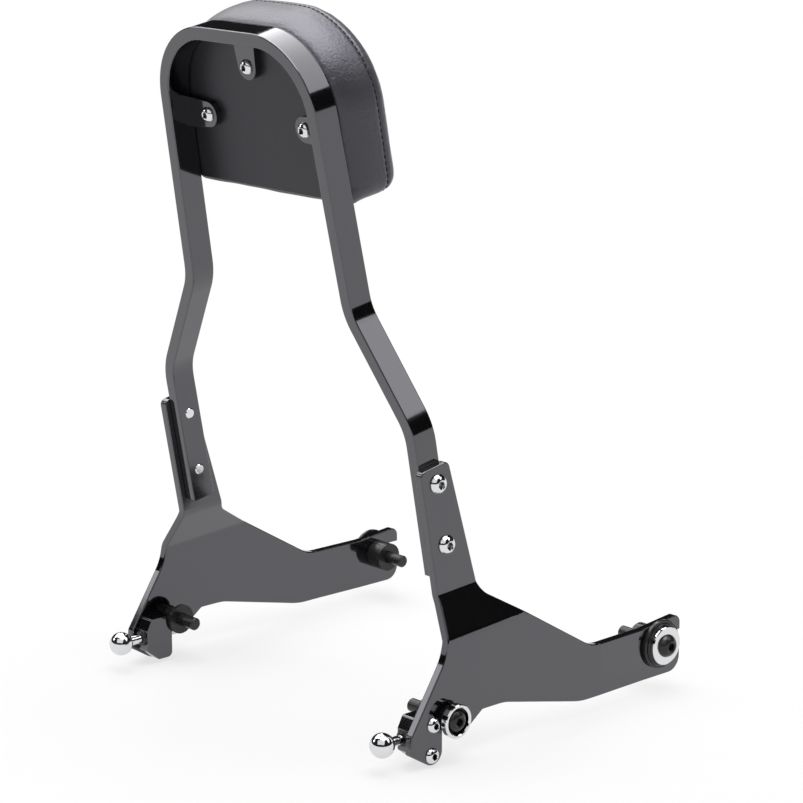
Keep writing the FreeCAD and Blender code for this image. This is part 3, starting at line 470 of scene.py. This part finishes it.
# The cover before it fills out: rows of the outline, each with its inset and its distance out.
turn = np.radians(np.linspace(0, 90, 9))
rows = np.array(
    [(inset, REAR_OUT) for inset in REAR_INSETS]
    + [(0.0, out) for out in np.linspace(REAR_OUT + WALL_START, SEAM_OUT, WALL_ROWS)]
    + [(FRONT_RUN * (1 - math.cos(a)), SEAM_OUT + CROWN * math.sin(a)) for a in turn]
    + [(inset, SEAM_OUT + CROWN) for inset in FRONT_INSETS])
across, up = pad_outline(rows[:, 0])
blank = grid_mesh("pad_cover_blank", on_hoop(across, up, rows[:, 1:]), closed_ends=True)
cover = bpy.data.objects.new("pad_cushion", blank)
bpy.context.scene.collection.objects.link(cover)
remesh = cover.modifiers.new("even_cloth", "REMESH")
remesh.mode = "VOXEL"
remesh.voxel_size = CLOTH_VOXEL
settled = bpy.data.meshes.new_from_object(cover.evaluated_get(bpy.context.evaluated_depsgraph_get()))
cover.modifiers.clear()
cover.data = settled

# The side wall is drawn tight over the board and the foam's edge, out to the outline.
place = off_hoop(coordinates(settled))
gap, outward = outline_distance(place[:, 0], place[:, 1])
wall = (np.abs(gap) < WALL_REACH) & (place[:, 2] < SEAM_OUT + WALL_PAST_SEAM)
behind = place[:, 2] < REAR_OUT + REAR_DEPTH
fold = np.stack([gap, REAR_OUT - place[:, 2]], axis=-1) + REAR_RADIUS
fold_length = np.linalg.norm(fold, axis=-1, keepdims=True)
corner = (fold > 0).all(axis=-1)
tight = np.stack([np.where(wall, 0, gap), np.where(behind, 0, REAR_OUT - place[:, 2])], axis=-1)
tight = np.where(corner[:, None], fold / fold_length * REAR_RADIUS - REAR_RADIUS, tight)
place[:, :2] += outward * (tight[:, :1] - gap[:, None])
place[:, 2] = REAR_OUT - tight[:, 1]
start = on_hoop(place[:, 0], place[:, 1], place[:, 2])
settled.vertices.foreach_set("co", start.ravel())
settled.update()
held = cover.vertex_groups.new(name="board_edge_and_seam")
seam = (np.abs(place[:, 2] - SEAM_OUT) < SEAM_HOLD) & (gap > -WALL_REACH)
held.add(np.flatnonzero((place[:, 2] < BOARD_EDGE) | seam).tolist(), 1.0, "REPLACE")
cloth = cover.modifiers.new("fill", "CLOTH")
cloth.settings.vertex_group_mass = held.name
cloth.settings.use_pressure = True
cloth.settings.uniform_pressure_force = 4.0
cloth.settings.quality = 6
cloth.settings.tension_stiffness = 40
cloth.settings.compression_stiffness = 40
cloth.settings.bending_stiffness = 6
cloth.settings.effector_weights.gravity = 0
for step in range(1, FILL_STEPS + 1):
    bpy.context.scene.frame_set(step)
filled = bpy.data.meshes.new_from_object(cover.evaluated_get(bpy.context.evaluated_depsgraph_get()))
cover.modifiers.clear()
move = coordinates(filled) - start
length = np.linalg.norm(move, axis=1, keepdims=True)
move *= np.minimum(1, MOST_FILL / MM_PER_METRE / np.maximum(length, 1e-9))
settled.vertices.foreach_set("co", (start + move).ravel())
settled.update()
bpy.context.scene.frame_set(1)
smooth(settled)
settled.materials.append(vinyl)
round_off = cover.modifiers.new("smooth_skin", "SUBSURF")
round_off.levels = 2
round_off.render_levels = 2
skin_mesh = bpy.data.meshes.new_from_object(cover.evaluated_get(bpy.context.evaluated_depsgraph_get()))
cover.modifiers.clear()
cover.data = skin_mesh

# The seam is drawn in by its thread, the wall narrows to the hoop behind, the top arches and under the
# pad the cover hangs a little slack.
place = off_hoop(coordinates(skin_mesh))
gap, outward = outline_distance(place[:, 0], place[:, 1])
near = np.clip(1 + gap / SEAM_FADE, 0, 1) * np.exp(-((place[:, 2] - SEAM_OUT) / SEAM_HALF_WIDTH) ** 2)
place[:, :2] -= outward * (SEAM_DEPTH * near)[:, None]
place = narrowed(place)
place[:, 1] = arched(place[:, 0], place[:, 1], place[:, 2])
under = np.clip(-outward[:, 1], 0, 1) * np.clip(1 + gap / SLACK_FADE, 0, 1)
belly = np.exp(-((place[:, 2] - SLACK_OUT) / SLACK_REACH) ** 2)
wave = (SLACK_MEAN + LONG_WAVE * np.sin(place[:, 0] / LONG_WAVE_RUN + LONG_WAVE_START)
        + SHORT_WAVE * np.sin(place[:, 0] / SHORT_WAVE_RUN + SHORT_WAVE_LEAN * place[:, 2]))
place[:, 1] -= SLACK * under * belly * wave
skin_mesh.vertices.foreach_set("co", on_hoop(place[:, 0], place[:, 1], place[:, 2]).ravel())
skin_mesh.update()
smooth(skin_mesh)
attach(cover, "frame")
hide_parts("pad_cover", "pad_foam")

# Seam stitches: bonded nylon thread, a lockstitch round the edge between the side and the front.
# Each one lies in the groove that the thread pulls.
STITCH_PITCH = 4.5
STITCH_LENGTH = 3.5
STITCH_SINK = 0.75
STITCH_STATIONS = 7
THREAD_RADIUS = 0.38
THREAD_SIDES = 8

# Nylon thread: dull black, slightly fuzzy.
thread, tree = new_material("bonded_nylon_thread")
place = add_node(tree, "ShaderNodeTexCoord").outputs["Object"]
fuzz = add_node(tree, "ShaderNodeTexNoise", {"Vector": place, "Scale": per_mm(0.5), "Detail": 2.0})
twist = add_node(tree, "ShaderNodeBump",
                 {"Height": fuzz.outputs["Fac"], "Strength": 0.5, "Distance": 0.0002})
fibre = add_node(tree, "ShaderNodeBsdfPrincipled", {
    "Base Color": linear("#08080a"), "Roughness": 0.6, "Normal": twist.outputs["Normal"]})
add_node(tree, "ShaderNodeOutputMaterial", {"Surface": fibre.outputs["BSDF"]})


def stitches(inset, out, pitch, length, radius):
    """Points of capsules set end to end along the pad's outline, one closed ring row for each station.

    Each capsule is its middle + tangent t + (outward cos a + out sin a) r(t), where t runs over its
    length and r(t) = radius sqrt(1 - (2t / length)^4), so its ends are round.
    """
    across, up = (line[0] for line in pad_outline(inset))
    across, up = np.append(across, across[0]), np.append(up, up[0])
    run = np.append(0, np.cumsum(np.hypot(np.diff(across), np.diff(up))))
    count = round(run[-1] / pitch)
    middle = (np.arange(count) + 0.5) * run[-1] / count
    share = np.linspace(-0.5, 0.5, STITCH_STATIONS)
    along = (middle[:, None] + share * length) % run[-1]
    thick = radius * np.sqrt(np.clip(1 - (2 * share) ** 4, 0.02, 1))
    x, y = np.interp(along, run, across), np.interp(along, run, up)
    _, away = outline_distance(x.ravel(), y.ravel())
    away = away.reshape(*x.shape, 2)
    y = arched(x, y, out)
    angle = np.linspace(0, 2 * np.pi, THREAD_SIDES, endpoint=False)
    side = (thick[:, None] * np.cos(angle))[None]
    lift = np.broadcast_to(thick[:, None] * np.sin(angle), (count, STITCH_STATIONS, THREAD_SIDES))
    return on_hoop(x[..., None] + away[..., :1] * side, y[..., None] + away[..., 1:] * side, out + lift)


rings = stitches(SEAM_DEPTH * STITCH_SINK, SEAM_OUT, STITCH_PITCH, STITCH_LENGTH, THREAD_RADIUS)
count, stations, around = rings.shape[:3]
index = np.arange(rings.size // 3).reshape(count, stations, around)
following = np.roll(index, -1, axis=2)
sides = np.stack([index[:, :-1], following[:, :-1], following[:, 1:], index[:, 1:]], axis=-1)
thread_mesh = bpy.data.meshes.new("seam_stitches")
thread_mesh.from_pydata(rings.reshape(-1, 3).tolist(), [], sides.reshape(-1, 4).tolist()
                        + index[:, 0, ::-1].tolist() + index[:, -1].tolist())
smooth(thread_mesh)
seam_stitches = shown("seam_stitches", thread_mesh, thread)

# Back panel: plain vinyl stretched over stiff card, stapled behind the cover's turned-in margin.
# The three pad screws run through it into the board's tee nuts. Its rows run from the middle to the
# edge, each with its inset from the pad's outline and its distance out.
PANEL_ROWS = np.array([
    (45.0, 0.2), (30.0, 0.2), (15.0, 0.2), (6.0, 0.2), (2.3, 0.2), (1.0, 1.3), (1.0, 1.9)])

# Plain vinyl: the same sheet with a fine matte emboss.
back_vinyl, tree = new_material("plain_black_vinyl")
place = add_node(tree, "ShaderNodeTexCoord").outputs["Object"]
emboss = add_node(tree, "ShaderNodeTexNoise", {"Vector": place, "Scale": per_mm(1.6), "Detail": 3.0})
relief = add_node(tree, "ShaderNodeBump",
                  {"Height": emboss.outputs["Fac"], "Strength": 0.15, "Distance": 0.0004})
dust = add_node(tree, "ShaderNodeTexNoise", {"Vector": place, "Scale": per_mm(50), "Detail": 3.0})
tone = add_node(tree, "ShaderNodeMix", {
    "Factor": dust.outputs["Fac"], "A": linear("#17171a"), "B": linear("#202024"),
}, data_type="RGBA")
skin = add_node(tree, "ShaderNodeBsdfPrincipled", {
    "Base Color": tone.outputs["Result"],
    "Roughness": 0.4,
    "Specular IOR Level": 0.5,
    "Specular Tint": linear("#f2f0ff"),
    "Normal": relief.outputs["Normal"],
})
add_node(tree, "ShaderNodeOutputMaterial", {"Surface": skin.outputs["BSDF"]})
across, up = pad_outline(PANEL_ROWS[:, 0])
out = np.broadcast_to(PANEL_ROWS[:, 1:], across.shape)
place = narrowed(np.stack([across, up, out], axis=-1).reshape(-1, 3))
points = on_hoop(place[:, 0], place[:, 1], place[:, 2]).reshape(*across.shape, 3)
panel_mesh = grid_mesh("back_panel", points, closed_ends=True)
panel = shown("back_panel", panel_mesh, back_vinyl)
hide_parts("pad_back_panel")

# Camera: the photograph's long lens, above and behind the right-hand side. Its place and angles
# were fitted to the outlines of the hoop and the plates.
CAMERA_PLACE = (1.4675, -1.2453, 0.6616)
CAMERA_AZIMUTH_DEG = 47.505
CAMERA_ELEVATION_DEG = 13.723
SENSOR_WIDTH = 36.0
FOCAL_LENGTH = 127.2
camera = bpy.data.objects.new("camera", bpy.data.cameras.new("camera"))
camera.data.sensor_width = SENSOR_WIDTH
camera.data.lens = FOCAL_LENGTH
azimuth, elevation = math.radians(CAMERA_AZIMUTH_DEG), math.radians(CAMERA_ELEVATION_DEG)
back = Vector((math.sin(azimuth) * math.cos(elevation), -math.cos(azimuth) * math.cos(elevation),
               math.sin(elevation)))
camera.location = CAMERA_PLACE
camera.rotation_euler = (-back).to_track_quat("-Z", "Y").to_euler()
camera.data.clip_end = 100
bpy.context.scene.collection.objects.link(camera)
bpy.context.scene.camera = camera

# Floor: a wide pale paper sweep under the object that curves up far away. It shows white to the camera
# and in reflections and keeps the soft shadow near the object.
FLOOR_REACH = 7.5
SWEEP_RADIUS = 1.0
FLOOR_GAP = 0.001
SHADOW_FROM, SHADOW_TO = 0.1, 0.6
SHADOW_SHARE = 0.3
turn = np.radians(np.linspace(0, 90, 9))[:, None]
radius = np.concatenate([[[0.0]], FLOOR_REACH + SWEEP_RADIUS * np.sin(turn)])
height = np.concatenate([[[0.0]], SWEEP_RADIUS * (1 - np.cos(turn))])
angle = np.linspace(0, 2 * np.pi, 96, endpoint=False)
floor_mesh = grid_mesh("floor", np.stack(np.broadcast_arrays(
    radius * np.cos(angle), radius * np.sin(angle), height), axis=-1))
smooth(floor_mesh)
floor = bpy.data.objects.new("floor", floor_mesh)
floor.location.z = cad_low.z - FLOOR_GAP
bpy.context.scene.collection.objects.link(floor)
floor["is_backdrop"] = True
sweep, tree = new_material("white_sweep")
place = add_node(tree, "ShaderNodeTexCoord").outputs["Object"]
distance = add_node(tree, "ShaderNodeVectorMath", {0: place}, operation="LENGTH")
fade = add_node(tree, "ShaderNodeMapRange", {
    "Value": distance.outputs["Value"], "From Min": SHADOW_FROM, "From Max": SHADOW_TO,
    "To Min": 1 - SHADOW_SHARE, "To Max": 1.0})
ray = add_node(tree, "ShaderNodeLightPath")
seen = add_node(tree, "ShaderNodeMath",
                {0: ray.outputs["Is Camera Ray"], 1: ray.outputs["Is Glossy Ray"]}, operation="MAXIMUM")
share = add_node(tree, "ShaderNodeMath", {0: seen.outputs["Value"], 1: fade.outputs["Result"]},
                 operation="MULTIPLY")
matte = add_node(tree, "ShaderNodeBsdfDiffuse", {"Color": linear("#c6c6c6")})
white = add_node(tree, "ShaderNodeEmission", {"Color": (1, 1, 1, 1), "Strength": 1.0})
both = add_node(tree, "ShaderNodeMixShader",
                {0: share.outputs["Value"], 1: matte.outputs["BSDF"], 2: white.outputs["Emission"]})
add_node(tree, "ShaderNodeOutputMaterial", {"Surface": both.outputs["Shader"]})
floor_mesh.materials.append(sweep)

# Studio: white behind the object and dark walls in its reflections. An arch of banks and a wing stand high
# in front of the backrest, brighter to the left, with soft boxes overhead, at the left and behind.
world = bpy.data.worlds.new("studio")
bpy.context.scene.world = world
world.use_nodes = True
tree = world.node_tree
tree.nodes.clear()
ray = add_node(tree, "ShaderNodeLightPath")
walls = add_node(tree, "ShaderNodeBackground", {"Color": linear("#ffffff"), "Strength": 0.018})
white = add_node(tree, "ShaderNodeBackground", {"Color": (1, 1, 1, 1), "Strength": 1.0})
both = add_node(tree, "ShaderNodeMixShader", {
    0: ray.outputs["Is Camera Ray"], 1: walls.outputs["Background"], 2: white.outputs["Background"]})
add_node(tree, "ShaderNodeOutputWorld", {"Surface": both.outputs["Shader"]})


def soft_box(name, place, aim, size, radiance, far_radiance=None):
    """Rectangular lamp at a place, facing a point: watts = radiance x area x pi.

    Its radiance runs evenly from the first value at one end of its width to the far one at the other.
    """
    lamp = bpy.data.lights.new(name, "AREA")
    lamp.shape = "RECTANGLE"
    lamp.size, lamp.size_y = size
    lamp.energy = radiance * size[0] * size[1] * math.pi
    if far_radiance is not None:
        lamp.use_nodes = True
        tree = lamp.node_tree
        tree.nodes.clear()
        across = add_node(tree, "ShaderNodeNewGeometry").outputs["Parametric"]
        along = add_node(tree, "ShaderNodeSeparateXYZ", {"Vector": across})
        strength = add_node(tree, "ShaderNodeMapRange", {
            "Value": along.outputs["X"], "To Min": 1.0, "To Max": far_radiance / radiance})
        glow = add_node(tree, "ShaderNodeEmission", {"Strength": strength.outputs["Result"]})
        add_node(tree, "ShaderNodeOutputLight", {"Surface": glow.outputs["Emission"]})
    made = bpy.data.objects.new(name, lamp)
    made.location = place
    made.rotation_euler = (Vector(aim) - Vector(place)).to_track_quat("-Z", "Y").to_euler()
    bpy.context.scene.collection.objects.link(made)


soft_box("right_bank", (2.45, 2.1, 3.475), (2.45, 0.0, 3.475), (2.9, 2.75), 1.9, 2.6)
soft_box("arch_bank", (-0.5, 2.1, 4.225), (-0.5, 0.0, 4.225), (3.0, 1.25), 2.6, 4.2)
soft_box("left_bank", (-2.4, 2.1, 3.475), (-2.4, 0.0, 3.475), (0.8, 2.75), 4.2, 4.8)
soft_box("left_wing", (-4.15, 2.1, 4.05), (-4.15, 0.0, 4.05), (2.7, 2.0), 5.0)
soft_box("overhead", (0.185, 0.06, 2.3), (0.185, 0.06, 0.0), (2.23, 1.52), 7.0)
soft_box("top_bank", (-1.1, -0.1, 1.5), (0.0, 0.0, 0.46), (1.2, 1.0), 3.5)
soft_box("rear_fill", (1.1, -1.5, 1.9), (0.0, 0.0, 0.2), (3.0, 2.0), 0.9)
soft_box("back_strip", (-1.33, -1.09, 0.97), (0.1, -0.05, 0.05), (0.6, 0.5), 2.6)

bpy.context.scene.view_settings.view_transform = "Standard"
low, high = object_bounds()
